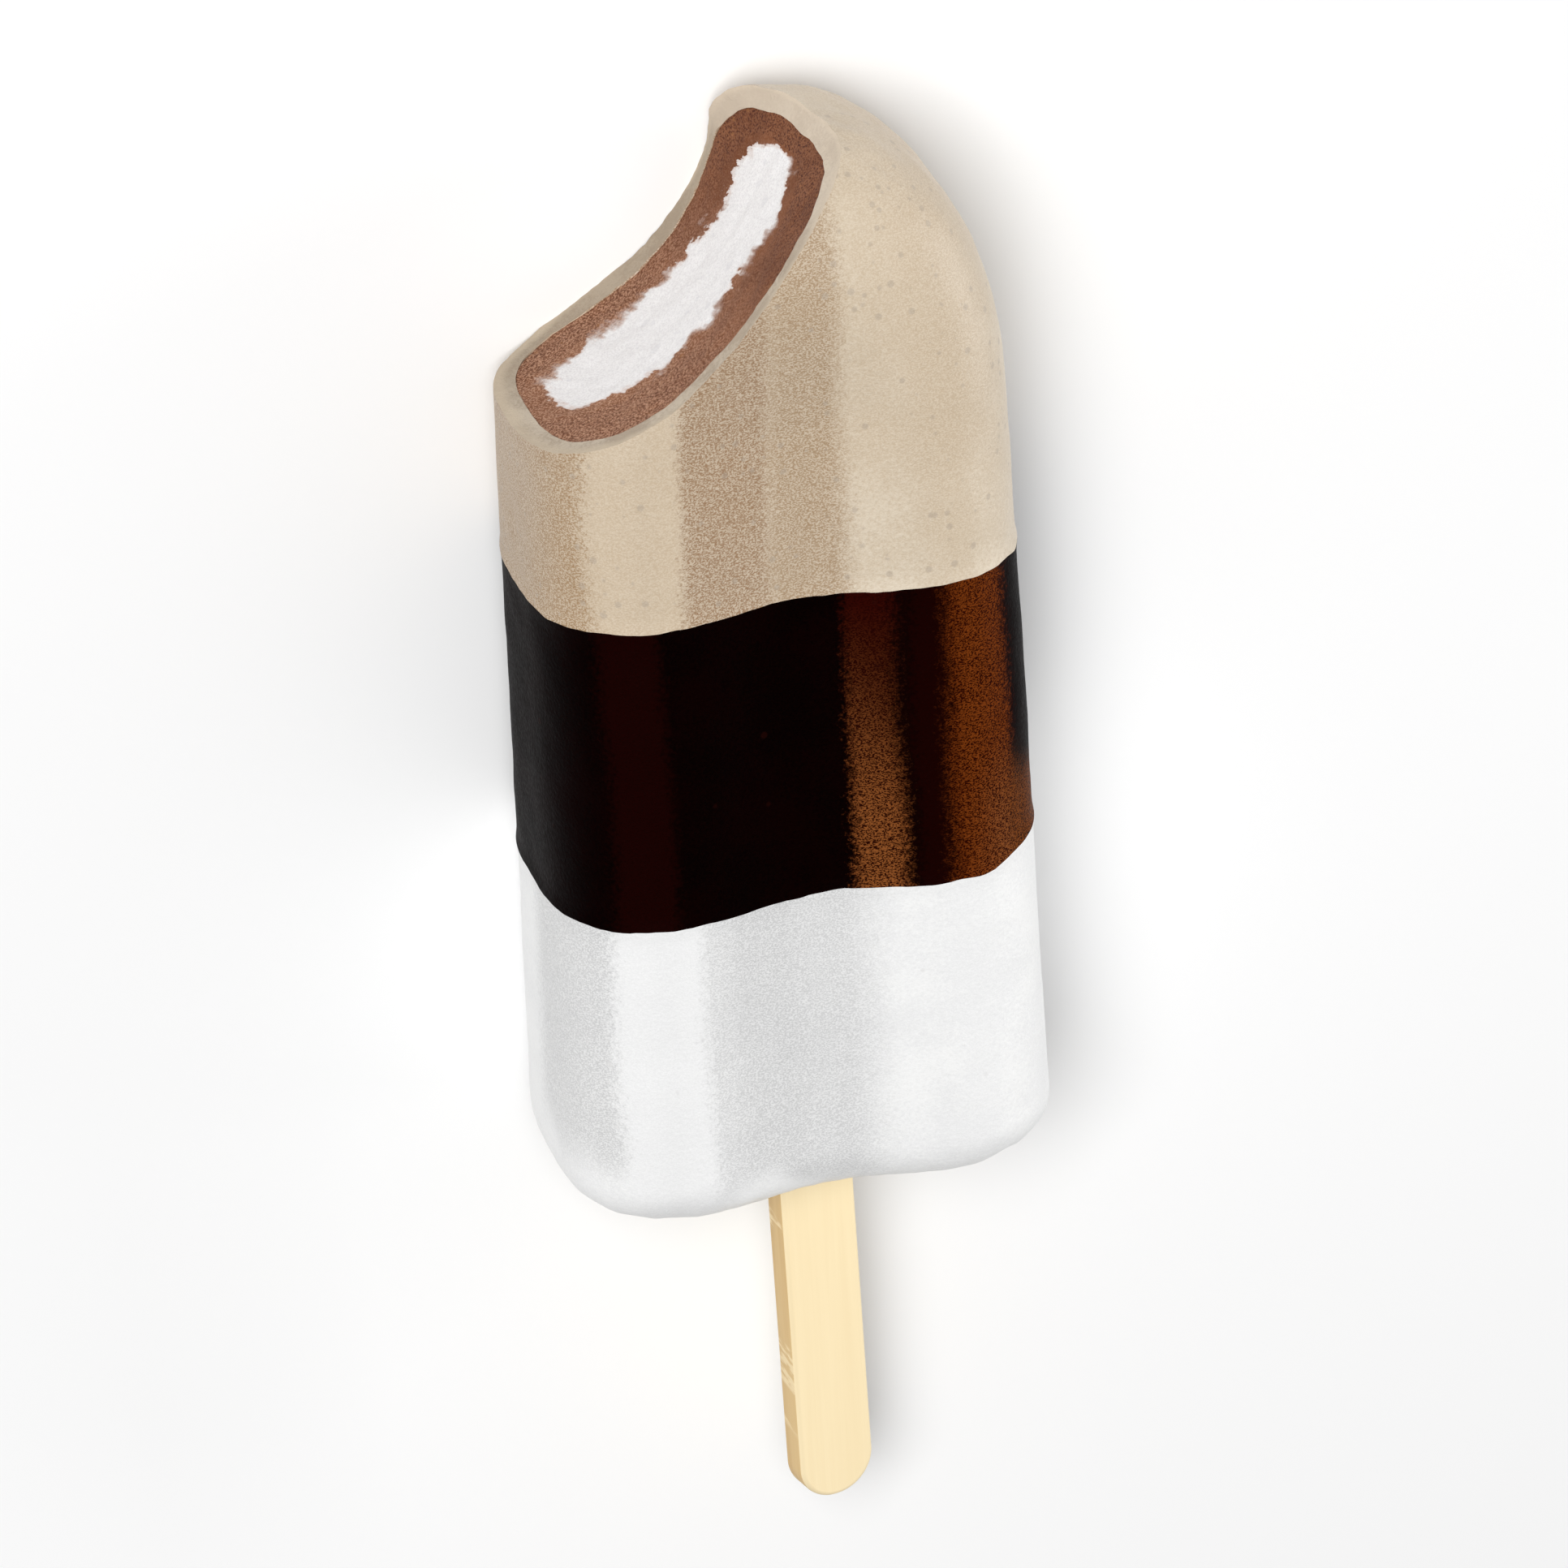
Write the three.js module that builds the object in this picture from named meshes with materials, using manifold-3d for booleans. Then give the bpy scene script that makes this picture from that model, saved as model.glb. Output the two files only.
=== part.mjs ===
// A coated ice cream bar on a wooden stick, with one bite taken out of a shoulder.
//
// The bar lies on its back. Millimetres: X runs across the bar, Y from the stick to the
// bitten end, Z up. Z = 0 is the surface that it lies on, and X = Y = 0 is the middle of
// its bounding box. The bar is worked out with Y = 0 at its stick end, and moved at the end.
//
// From outside to inside: a coating in three bands of colour, a thick layer of chocolate
// ice cream, and a flat vanilla core. All are cut by the bite, and the stick runs up the
// middle of the core.

import * as THREE from 'three';
import { ParametricGeometry } from 'three/addons/geometries/ParametricGeometry.js';
import { mergeVertices } from 'three/addons/utils/BufferGeometryUtils.js';
import Module from 'manifold-3d';

const wasm = await Module();
wasm.setup();

// The body.
const BODY_LENGTH = 102;
const BODY_WIDTH = 46.8; // at the stick end
const WIDTH_TAPER = 0.08; // share of the width that is gone at the top
const OVAL_THICKNESS = 32.8; // of the plain oval, before the grooves are pressed in
const OVAL_SQUARENESS = 3.35; // 2 is an ellipse, more is nearer to a rectangle
const GROOVE_DEPTH = 3.45; // of the long groove in the front and in the back
const GROOVE_REACH = 16.8; // from the middle to where the groove runs out on a lobe
const GROOVE_END = 8; // below the top, where the groove is gone
const GROOVE_FADE = 18; // length over which it gets shallower
const ARCH_RISE = 27; // height of the rounded top
const ARCH_SQUARENESS = 2.45; // of the top, seen from the front
const DOME_SQUARENESS = 3.2; // of the top, seen from the side
const EDGE_RADIUS = 4.8; // of the edge round the stick end
const REST_FLAT = 0.35; // how far the back lobes are flattened by lying on them

// The layers.
const COATING_THICKNESS = 2;
const CORE_INSET = 4.2; // from the outside to the core, at the sides and the ends
const CORE_THICKNESS = 14;
const CORE_GROOVE_DEPTH = 0.4;
const CORE_LOWERED = 1.3; // below the bar's middle
const WHITE_BAND_TOP = 31.4;
const DARK_BAND_TOP = 60.8;
const FIT_GAP = 0.3; // between pieces that touch

// The bite is a surface that runs through the bar, from a curve along its back to one along
// its front. All curves start beyond the left side and end beyond the top. Close to the back
// the surface bends outwards to a third curve, so that the coating stands out there as a rim.
const BITE_BACK = new THREE.CubicBezierCurve(
  new THREE.Vector2(-29.8, 74.9), new THREE.Vector2(-2.8, 76.4),
  new THREE.Vector2(13, 96.7), new THREE.Vector2(-13.4, 110.8),
);
const BITE_RIM = new THREE.CubicBezierCurve(
  new THREE.Vector2(-28.4, 73.5), new THREE.Vector2(-7.6, 77.9),
  new THREE.Vector2(16.8, 97), new THREE.Vector2(-10.8, 109),
);
const BITE_FRONT = new THREE.CubicBezierCurve(
  new THREE.Vector2(-27.7, 76.8), new THREE.Vector2(8, 79.9),
  new THREE.Vector2(-10.8, 106.5), new THREE.Vector2(48.5, 120.4),
);
const BITE_RIM_REACH = 0.13; // into the bite, as a share of the thickness
const BITE_RIM_LIMIT = 1.5; // how far the bend goes on past the rim
const BITE_HOLLOW = 0.5; // how much deeper the bite is in its middle
const EATEN_SIDE = new THREE.Vector2(-75, 55).normalize(); // the way to the side that was eaten
const BITE_FAR_CORNER = new THREE.Vector2(-60, 140); // well outside, on the side that was eaten
const BITE_MIDDLE = new THREE.Vector2(-28, 105);

// The stick.
const STICK_WIDTH = 7.8;
const STICK_THICKNESS = 3;
const STICK_LENGTH = 93;
const STICK_OUTSIDE = 39; // length that sticks out of the body
const STICK_BEVEL = 0.35;
const STICK_OFFSET = 1.4; // to the right of the middle, where it leaves the body
const STICK_TWIST = THREE.MathUtils.degToRad(14); // about its own length
const STICK_LEAN = THREE.MathUtils.degToRad(0.8); // across the bar

// How finely the surfaces are divided.
const SIDES = 60;
const EDGE_STEPS = 3;
const WALL_STEPS = 5;
const ARCH_STEPS = 10;
const BITE_STEPS = 26; // along the curves
const BITE_DEPTHS = [-0.12, 0, 0.04, 0.08, 0.13, 0.4, 0.7, 1, 1.12]; // shares of the thickness
const STICK_ARC_STEPS = 10;
const CURVE_TABLE_STEPS = 720;

const MARGIN = 100; // how far a cutter reaches past the body

const OUTSIDE = {
  halfWidth: BODY_WIDTH / 2,
  halfThickness: OVAL_THICKNESS / 2,
  grooveDepth: GROOVE_DEPTH,
  grooveReach: GROOVE_REACH,
  bottom: 0,
  top: BODY_LENGTH,
  archRise: ARCH_RISE,
  edgeRadius: EDGE_RADIUS,
};

// The form that lies a given depth below the surface of another one.
function inset(form, depth) {
  return {
    ...form,
    halfWidth: form.halfWidth - depth,
    halfThickness: form.halfThickness - depth,
    grooveReach: form.grooveReach - depth / 2,
    bottom: form.bottom + depth,
    top: form.top - depth,
    archRise: form.archRise - depth,
    edgeRadius: Math.max(form.edgeRadius - depth, EDGE_RADIUS / 3),
  };
}

// The section across the bar: a squarish oval with a groove along its front and its back.
// The curve's x is the bar's X, and its y is the height over the middle plane.
class Section extends THREE.Curve {
  constructor(form, grooveShare = 1) {
    super();
    this.form = form;
    this.grooveShare = grooveShare;
    this.arcLengthDivisions = CURVE_TABLE_STEPS;
  }

  getPoint(t, target = new THREE.Vector3()) {
    const { halfWidth, halfThickness, grooveDepth, grooveReach } = this.form;
    const angle = 2 * Math.PI * t;
    const x = halfWidth * squared(Math.cos(angle));
    const oval = halfThickness * squared(Math.sin(angle));
    const along = Math.min(Math.abs(x) / grooveReach, 1);
    const groove = this.grooveShare * grooveDepth * (1 + Math.cos(Math.PI * along)) / 2;
    return target.set(x, oval - Math.sign(oval) * groove, 0);
  }
}

function squared(value) {
  return Math.sign(value) * Math.abs(value) ** (2 / OVAL_SQUARENESS);
}

// Shares of the full width and thickness at a share of the arch's rise.
function archShare(rise, squareness) {
  return Math.max(1 - rise ** squareness, 0) ** (1 / squareness);
}

// The stations along a form, from the middle of its stick end to its top. Each has its
// place along the bar and the shares of width, thickness and groove depth that it has.
function stations(form) {
  const { halfWidth, halfThickness, bottom, top, archRise, edgeRadius } = form;
  const rows = [{ y: bottom, width: 0, thickness: 0 }];
  for (let i = 0; i <= EDGE_STEPS; i++) {
    const angle = (i / EDGE_STEPS) * Math.PI / 2;
    const step = edgeRadius * (1 - Math.sin(angle));
    rows.push({
      y: bottom + edgeRadius * (1 - Math.cos(angle)),
      width: 1 - step / halfWidth,
      thickness: 1 - step / halfThickness,
    });
  }
  const wallBottom = bottom + edgeRadius;
  const wallTop = top - archRise;
  for (let i = 1; i <= WALL_STEPS; i++) {
    rows.push({ y: THREE.MathUtils.lerp(wallBottom, wallTop, i / WALL_STEPS), width: 1, thickness: 1 });
  }
  for (let i = 1; i <= ARCH_STEPS; i++) {
    const rise = Math.sin((i / ARCH_STEPS) * Math.PI / 2);
    rows.push({
      y: wallTop + archRise * rise,
      width: archShare(rise, ARCH_SQUARENESS),
      thickness: archShare(rise, DOME_SQUARENESS),
    });
  }
  for (const row of rows) {
    row.width *= 1 - WIDTH_TAPER * row.y / BODY_LENGTH;
    row.groove = THREE.MathUtils.smoothstep(top - row.y, GROOVE_END, GROOVE_END + GROOVE_FADE);
  }
  return rows;
}

// The height of the lobes' crests over the middle plane, less the flat that they rest on.
const MIDDLE_HEIGHT = Math.max(
  ...new Section(OUTSIDE).getPoints(CURVE_TABLE_STEPS).map((point) => point.y),
) - REST_FLAT;

// A closed form of the bar's shape, no lower than the surface that the bar lies on. It can
// be lowered as a whole.
function body(form, lowered = 0) {
  const rows = stations(form);
  const sections = rows.map((row) => new Section(form, row.groove));
  const spacing = new Section(form);
  const point = new THREE.Vector3();
  const place = (u, v, target) => {
    const index = Math.round(v * (rows.length - 1));
    const row = rows[index];
    sections[index].getPoint(spacing.getUtoTmapping((1 - u) % 1), point);
    const height = Math.max(point.y * row.thickness, -MIDDLE_HEIGHT) - lowered;
    target.set(point.x * row.width, row.y, MIDDLE_HEIGHT + height);
  };
  return solid(new ParametricGeometry(place, SIDES, rows.length - 1));
}

// A slab across the whole bar, from one place along it to another.
function slab(from, to) {
  const geometry = new THREE.BoxGeometry(2 * MARGIN, to - from, 2 * MARGIN);
  return solid(geometry.translate(0, (from + to) / 2, 0));
}

// A point of the bite, at a share of the way along its curves and a share of the thickness.
function bitten(share, depth) {
  const back = BITE_BACK.getPoint(share);
  const bend = THREE.MathUtils.clamp(1 - depth / BITE_RIM_REACH, 0, BITE_RIM_LIMIT) ** 2;
  const toRim = BITE_RIM.getPoint(share).sub(back).multiplyScalar(bend);
  const inside = THREE.MathUtils.clamp(depth, 0, 1);
  const hollow = -BITE_HOLLOW * 4 * inside * (1 - inside);
  return BITE_FRONT.getPoint(share).sub(back).multiplyScalar(depth).add(back).add(toRim)
    .addScaledVector(EATEN_SIDE, hollow);
}

// What the bite took away. Its outline is closed by the far corner, and its ends by fans.
function bite() {
  const corners = BITE_STEPS + 2;
  const rings = BITE_DEPTHS.length + 1; // with the middle of each end
  const place = (u, v, target) => {
    const index = Math.round(u * corners) % corners;
    const ring = Math.round(v * rings);
    const depth = BITE_DEPTHS[THREE.MathUtils.clamp(ring - 1, 0, BITE_DEPTHS.length - 1)];
    const atEnd = ring === 0 || ring === rings;
    const outline = index <= BITE_STEPS ? bitten(index / BITE_STEPS, depth) : BITE_FAR_CORNER;
    const point = atEnd ? BITE_MIDDLE : outline;
    target.set(point.x, point.y, depth * 2 * MIDDLE_HEIGHT);
  };
  return solid(new ParametricGeometry(place, corners, rings));
}

// The stick, or with some clearance the slot that it sits in.
function stickForm(clearance) {
  const radius = STICK_WIDTH / 2 + clearance;
  const straight = STICK_LENGTH / 2 - STICK_WIDTH / 2;
  const outline = new THREE.Shape();
  outline.absarc(0, straight, radius, 0, Math.PI, false);
  outline.absarc(0, -straight, radius, Math.PI, 2 * Math.PI, false);
  outline.closePath();
  const depth = STICK_THICKNESS + 2 * clearance - 2 * STICK_BEVEL;
  const geometry = new THREE.ExtrudeGeometry(outline, {
    depth,
    curveSegments: STICK_ARC_STEPS,
    bevelThickness: STICK_BEVEL,
    bevelSize: STICK_BEVEL,
    bevelOffset: -STICK_BEVEL,
    bevelSegments: 1,
  });
  geometry.translate(0, 0, -depth / 2);
  geometry.rotateY(STICK_TWIST);
  geometry.translate(0, STICK_LENGTH / 2 - STICK_OUTSIDE, 0);
  geometry.rotateZ(STICK_LEAN);
  return geometry.translate(STICK_OFFSET, 0, MIDDLE_HEIGHT);
}

// A closed geometry as a solid that can be joined and cut.
function solid(geometry) {
  geometry.deleteAttribute('normal');
  geometry.deleteAttribute('uv');
  const merged = mergeVertices(geometry);
  const corners = merged.index.array;
  const triangles = [];
  for (let i = 0; i < corners.length; i += 3) {
    const [a, b, c] = corners.slice(i, i + 3);
    if (a !== b && b !== c && c !== a) triangles.push(a, b, c);
  }
  return new wasm.Manifold(new wasm.Mesh({
    numProp: 3,
    vertProperties: new Float32Array(merged.attributes.position.array),
    triVerts: new Uint32Array(triangles),
  }));
}

function geometryOf(manifold) {
  const mesh = manifold.getMesh();
  const geometry = new THREE.BufferGeometry();
  geometry.setAttribute('position', new THREE.BufferAttribute(mesh.vertProperties, 3));
  geometry.setIndex(new THREE.BufferAttribute(mesh.triVerts, 1));
  geometry.computeVertexNormals();
  return geometry;
}

function piece(name, manifold, color, roughness) {
  const material = new THREE.MeshStandardMaterial({ color, roughness, metalness: 0 });
  const mesh = new THREE.Mesh(geometryOf(manifold), material);
  mesh.name = name;
  return mesh;
}

const chocolateForm = inset(OUTSIDE, COATING_THICKNESS + FIT_GAP);
const coreForm = {
  ...inset(OUTSIDE, CORE_INSET),
  halfThickness: CORE_THICKNESS / 2,
  grooveDepth: CORE_GROOVE_DEPTH,
};

const eaten = bite();
const slot = solid(stickForm(FIT_GAP));
const coating = body(OUTSIDE).subtract(body(inset(OUTSIDE, COATING_THICKNESS))).subtract(eaten);
const chocolate = body(chocolateForm).subtract(body(inset(coreForm, -FIT_GAP), CORE_LOWERED))
  .subtract(eaten).subtract(slot);
const core = body(coreForm, CORE_LOWERED).subtract(eaten).subtract(slot);
const whiteBand = coating.intersect(slab(-MARGIN, WHITE_BAND_TOP - FIT_GAP / 2)).subtract(slot);
const darkBand = coating.intersect(slab(WHITE_BAND_TOP + FIT_GAP / 2, DARK_BAND_TOP - FIT_GAP / 2));
const beigeBand = coating.intersect(slab(DARK_BAND_TOP + FIT_GAP / 2, BODY_LENGTH + MARGIN));

const bar = new THREE.Group();
bar.add(
  piece('coating_white', whiteBand, 0xf0f0f0, 0.4),
  piece('coating_dark', darkBand, 0x1a0805, 0.25),
  piece('coating_beige', beigeBand, 0xcdbda7, 0.5),
  piece('chocolate_layer', chocolate, 0x88583f, 0.8),
  piece('vanilla_core', core, 0xf3f1f2, 0.7),
  piece('stick', solid(stickForm(0)), 0xf7e2b6, 0.7),
);

const extent = new THREE.Box3().setFromObject(bar, true);
bar.position.y = -(extent.min.y + extent.max.y) / 2;

const iceCreamBar = new THREE.Group();
iceCreamBar.add(bar);

export default iceCreamBar;
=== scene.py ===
"""A coated ice cream bar on a wooden stick, with one bite taken out of a shoulder.

The bar lies on its back on a plain pale floor. X runs across it, Y from the stick to the
bitten end, and Z up, in metres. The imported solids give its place. Each layer is modelled
afresh over its solid: the coating as one skin that is parted into its three bands, the
chocolate and vanilla ice cream inside it, and the stick. One rough bite cuts the beige
band and both kinds of ice cream.
"""

import math

import bmesh
import bpy
import numpy as np
from mathutils import Matrix, Vector


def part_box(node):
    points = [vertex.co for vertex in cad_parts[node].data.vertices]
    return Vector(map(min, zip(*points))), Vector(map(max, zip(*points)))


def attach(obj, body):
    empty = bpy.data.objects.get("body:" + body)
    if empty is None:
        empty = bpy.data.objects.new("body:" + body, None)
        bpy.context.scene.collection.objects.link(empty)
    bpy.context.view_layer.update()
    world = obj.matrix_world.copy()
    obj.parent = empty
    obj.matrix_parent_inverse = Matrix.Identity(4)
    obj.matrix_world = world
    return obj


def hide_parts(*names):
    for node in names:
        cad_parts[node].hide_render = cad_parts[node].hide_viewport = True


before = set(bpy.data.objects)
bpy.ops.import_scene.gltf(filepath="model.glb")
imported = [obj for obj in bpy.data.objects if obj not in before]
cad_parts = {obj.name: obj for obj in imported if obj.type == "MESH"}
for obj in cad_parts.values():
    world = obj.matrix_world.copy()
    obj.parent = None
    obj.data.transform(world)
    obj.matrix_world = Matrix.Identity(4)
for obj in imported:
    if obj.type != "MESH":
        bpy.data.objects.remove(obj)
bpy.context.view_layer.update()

# The body, from outside. All lengths are in metres.
BODY_LENGTH = 0.102
BODY_WIDTH = 0.0468  # at the stick end
WIDTH_TAPER = 0.08  # share of the width that is gone at the top
OVAL_THICKNESS = 0.0328  # of the plain oval, before the grooves are pressed in
OVAL_SQUARENESS = 3.35  # 2 is an ellipse, more is nearer to a rectangle
GROOVE_DEPTH = 0.00345
GROOVE_REACH = 0.0168  # from the middle to where the groove runs out on a lobe
GROOVE_END = 0.008  # below the top, where the groove is gone
GROOVE_FADE = 0.018  # length over which it gets shallower
ARCH_RISE = 0.027
ARCH_SQUARENESS = 2.45  # of the top, seen from the front
DOME_SQUARENESS = 3.2  # of the top, seen from the side
EDGE_RADIUS = 0.0048  # of the edge round the stick end
REST_FLAT = 0.00035  # how far the back lobes are flattened by lying on them

# The layers.
COATING_THICKNESS = 0.002
CORE_INSET = 0.0042
CORE_THICKNESS = 0.014
CORE_GROOVE_DEPTH = 0.0004
CORE_LOWERED = 0.0013  # below the bar's middle
WHITE_BAND_TOP = 0.0314
DARK_BAND_TOP = 0.0608
BAND_BEAD = 0.00014  # how far a coat stands out where it ends
BAND_BEAD_WIDTH = 0.0007
BAND_CLIMB = 0.0016  # how much higher the white coat ends on the right side than in front
BAND_CLIMB_START = 0.0145  # across, where it starts to climb
BAND_CLIMB_LENGTH = 0.012  # along the bar, over which the climb is spread
LAYER_OVERLAP = 0.00015  # how far the ice cream reaches into the coating, so that no gap shows

# The bite: a surface that runs through the bar, from a curve along its front to one along its
# back. The coating of the back stands out to a rim. Each curve has a start, two points that
# it bends towards, and an end.
BITE_FRONT = ((-0.0277, 0.0768), (0.0080, 0.0799), (-0.0108, 0.1065), (0.0485, 0.1204))
BITE_BACK = ((-0.0298, 0.0749), (-0.0028, 0.0764), (0.0130, 0.0967), (-0.0134, 0.1108))
BITE_RIM = ((-0.0284, 0.0735), (-0.0076, 0.0779), (0.0168, 0.0970), (-0.0108, 0.1090))
BITE_RIM_REACH = 0.13  # into the bite, as a share of the thickness
BITE_HOLLOW = 0.0005  # how much deeper the bite is in its middle
BITE_OVERRUN = 0.12  # how far it goes on past each face, as a share of the thickness
BITE_SPAN = (0.0, 0.96)  # the shares of the curves that are made
EATEN_SIDE = (-0.075, 0.055, 0.0)  # the way to the side that was eaten
BITE_RIM_OVERRUN = 1.5  # how far the rim's curve goes on past the back, at most
COATING_STANDS_PROUD = 0.0001  # of the ice cream, at the bite
TOOTH_TURN = (math.radians(-13.3), math.radians(16.1), 0)  # turns Z to the way the teeth went

# Reliefs. Each has its depth from pit to peak, and its grain, from one pit to the next.
SKIN_WAVER = (0.0008, 0.004)  # to and fro along the bar, for unsteady lines between the coats
SKIN_RELIEFS = ((0.0005, 0.016), (0.00014, 0.0035))
COATING_BITE_RELIEFS = ((0.0005, 0.006), (0.0003, 0.0016))
CREAM_BITE_RELIEFS = ((0.0005, 0.006), (0.00036, 0.0024), (0.0001, 0.0008))

# The stick.
STICK_WIDTH = 0.0078
STICK_THICKNESS = 0.003
STICK_LENGTH = 0.093
STICK_OUTSIDE = 0.039
STICK_BEVEL = 0.00045
STICK_ROUNDING = 0.98  # radius of its ends' corners, as a share of half the width
STICK_OFFSET = 0.0014  # to the right of the middle, where it leaves the body
STICK_TWIST = math.radians(14)  # about its own length
STICK_LEAN = math.radians(0.8)  # across the bar

# How finely the surfaces are divided.
SKIN_SIDES = 240
SKIN_STEP = 0.0005  # along the bar
LAYER_SIDES = 144
LAYER_STEP = 0.0014
ARCH_ROWS = 1.6  # rows over the arch, for each step that it rises
SECTION_POINTS = 14401  # at which a section's length and height are measured
END_RINGS = 14
BITE_STEP = 0.00026
BITE_SHEET_LENGTH = 0.075  # along the bite's curves, for the number of its faces
BITE_SHEET_DEPTH = 0.036  # through the bar, likewise
STICK_END_SEGMENTS = 28  # round each corner of an end
STICK_BEVEL_SEGMENTS = 4
RELIEF_OCTAVES = 2
MERGE_DISTANCE = 0.000002
SMOOTH_ANGLE = math.radians(40)  # an edge that is sharper stays hard

# What the parts of a form are told by.
RIM_ANGLE = 1.0  # in radians, more than which an edge of the stick's block turns
FLAT_NORMAL = 0.999  # along Z, of a face on a flat side of the stick
NARROW_NORMAL = 0.4  # along Z at most, of a face on a narrow side of the stick
REACH_LIMIT = 0.02  # the largest distance that is told from one layer's surface
LEAST_HALF = 0.00001  # of a layer's width or thickness, where the layer has run out
LEAST_OVAL = 1e-9  # a share of the way from a layer's middle to its surface

BODY_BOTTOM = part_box("coating_white")[0].y

OUTSIDE = {
    "half_width": BODY_WIDTH / 2,
    "half_thickness": OVAL_THICKNESS / 2,
    "groove_depth": GROOVE_DEPTH,
    "groove_reach": GROOVE_REACH,
    "bottom": 0.0,
    "top": BODY_LENGTH,
    "arch_rise": ARCH_RISE,
    "edge_radius": EDGE_RADIUS,
}


# ------------------------------------------------------------------ the bar's form


def inset(form, depth, **changed):
    """The form that lies a given depth below the surface of another one."""
    return {
        **form,
        "half_width": form["half_width"] - depth,
        "half_thickness": form["half_thickness"] - depth,
        "groove_reach": form["groove_reach"] - depth / 2,
        "bottom": form["bottom"] + depth,
        "top": form["top"] - depth,
        "arch_rise": form["arch_rise"] - depth,
        "edge_radius": max(form["edge_radius"] - depth, EDGE_RADIUS / 3),
        **changed,
    }


def eased(share):
    """A smooth step from 0 to 1."""
    return share**2 * (3 - 2 * share)


def squared(value):
    """A cosine or sine, for an oval that is squarer than an ellipse."""
    return np.sign(value) * np.abs(value) ** (2 / OVAL_SQUARENESS)


def section(form, turn, groove_share=1.0):
    """Places across and over the middle plane, at shares of a turn round the grooved oval."""
    across = form["half_width"] * squared(np.cos(2 * np.pi * turn))
    oval = form["half_thickness"] * squared(np.sin(2 * np.pi * turn))
    along = np.minimum(np.abs(across) / form["groove_reach"], 1)
    groove = groove_share * form["groove_depth"] * (1 + np.cos(np.pi * along)) / 2
    return across, oval - np.sign(oval) * groove


def even_turns(form, share):
    """The turns at which the section is cut, so that its sides are equally long."""
    turns = np.linspace(0, 1, SECTION_POINTS)
    across, over = section(form, turns)
    walked = np.concatenate([[0], np.cumsum(np.hypot(np.diff(across), np.diff(over)))])
    return np.interp(share, walked / walked[-1], turns)


MIDDLE_HEIGHT = float(section(OUTSIDE, np.linspace(0, 1, SECTION_POINTS))[1].max()) - REST_FLAT


def shares(form, along):
    """Shares of the full width, thickness and groove depth, at places along the bar."""
    edge = form["edge_radius"]
    drop = np.clip(1 - (along - form["bottom"]) / edge, 0, 1)
    step = edge * (1 - np.sqrt(1 - drop**2))
    rise = np.clip((along - form["top"]) / form["arch_rise"] + 1, 0, 1)
    width = (1 - rise**ARCH_SQUARENESS) ** (1 / ARCH_SQUARENESS)
    thickness = (1 - rise**DOME_SQUARENESS) ** (1 / DOME_SQUARENESS)
    width = (width - step / form["half_width"]) * (1 - WIDTH_TAPER * along / BODY_LENGTH)
    thickness = thickness - step / form["half_thickness"]
    fade = np.clip((form["top"] - along - GROOVE_END) / GROOVE_FADE, 0, 1)
    return width, thickness, eased(fade)


def stations(form, step, lines=()):
    """Places along the bar for the rows of faces, with one at each of the given lines."""
    quarter = np.linspace(0, np.pi / 2, math.ceil(form["edge_radius"] * np.pi / 2 / step) + 1)
    edge = form["bottom"] + form["edge_radius"] * (1 - np.cos(quarter))
    stops = [edge[-1], *lines, form["top"] - form["arch_rise"]]
    wall = [
        np.linspace(start, stop, math.ceil((stop - start) / step) + 1)[1:]
        for start, stop in zip(stops, stops[1:])
    ]
    quarter = np.linspace(0, np.pi / 2, math.ceil(form["arch_rise"] * ARCH_ROWS / step) + 1)[1:]
    arch = stops[-1] + form["arch_rise"] * np.sin(quarter)
    return np.concatenate([edge, *wall, arch])


# ------------------------------------------------------------------ modelling by hand


def select_only(piece):
    bpy.ops.object.select_all(action="DESELECT")
    piece.select_set(True)
    bpy.context.view_layer.objects.active = piece


def added(name):
    """The piece that was just added, named, with its place and turn put into its mesh."""
    piece = bpy.context.object
    piece.name = name
    bpy.ops.object.transform_apply(location=True, rotation=True, scale=True)
    return piece


def edit(mode="FACE"):
    bpy.ops.object.mode_set(mode="EDIT")
    bpy.ops.mesh.select_mode(type=mode)


def leave_edit():
    bpy.ops.object.mode_set(mode="OBJECT")


def select_faces(piece, test):
    """In edit mode, selects only the faces that pass a test."""
    mesh = bmesh.from_edit_mesh(piece.data)
    for face in mesh.faces:
        face.select_set(test(face))
    bmesh.update_edit_mesh(piece.data)


def select_edges(piece, test):
    """In edit mode, selects only the edges that pass a test."""
    mesh = bmesh.from_edit_mesh(piece.data)
    bpy.ops.mesh.select_all(action="DESELECT")
    for edge in mesh.edges:
        if test(edge):
            edge.select_set(True)
    bmesh.update_edit_mesh(piece.data)


def span(edge, axis):
    """How far apart the two ends of an edge lie along an axis."""
    start, end = (getattr(point.co, axis) for point in edge.verts)
    return abs(start - end)


def places(piece):
    """The piece's points, as rows of x, y and z."""
    found = np.empty(len(piece.data.vertices) * 3, np.float32)
    piece.data.vertices.foreach_get("co", found)
    return found.reshape(-1, 3).astype(float)


def move_to(piece, points):
    piece.data.vertices.foreach_set("co", np.asarray(points, np.float32).ravel())
    piece.data.update()


def close_and_leave(piece):
    """Closes seams and poles, turns all faces outwards, and leaves edit mode."""
    bpy.ops.mesh.select_all(action="SELECT")
    bpy.ops.mesh.remove_doubles(threshold=MERGE_DISTANCE)
    bpy.ops.mesh.normals_make_consistent(inside=False)
    if bmesh.from_edit_mesh(piece.data).calc_volume(signed=True) < 0:
        bpy.ops.mesh.flip_normals()
    leave_edit()


def apply_modifiers(piece):
    select_only(piece)
    for modifier in list(piece.modifiers):
        bpy.ops.object.modifier_apply(modifier=modifier.name)


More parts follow.
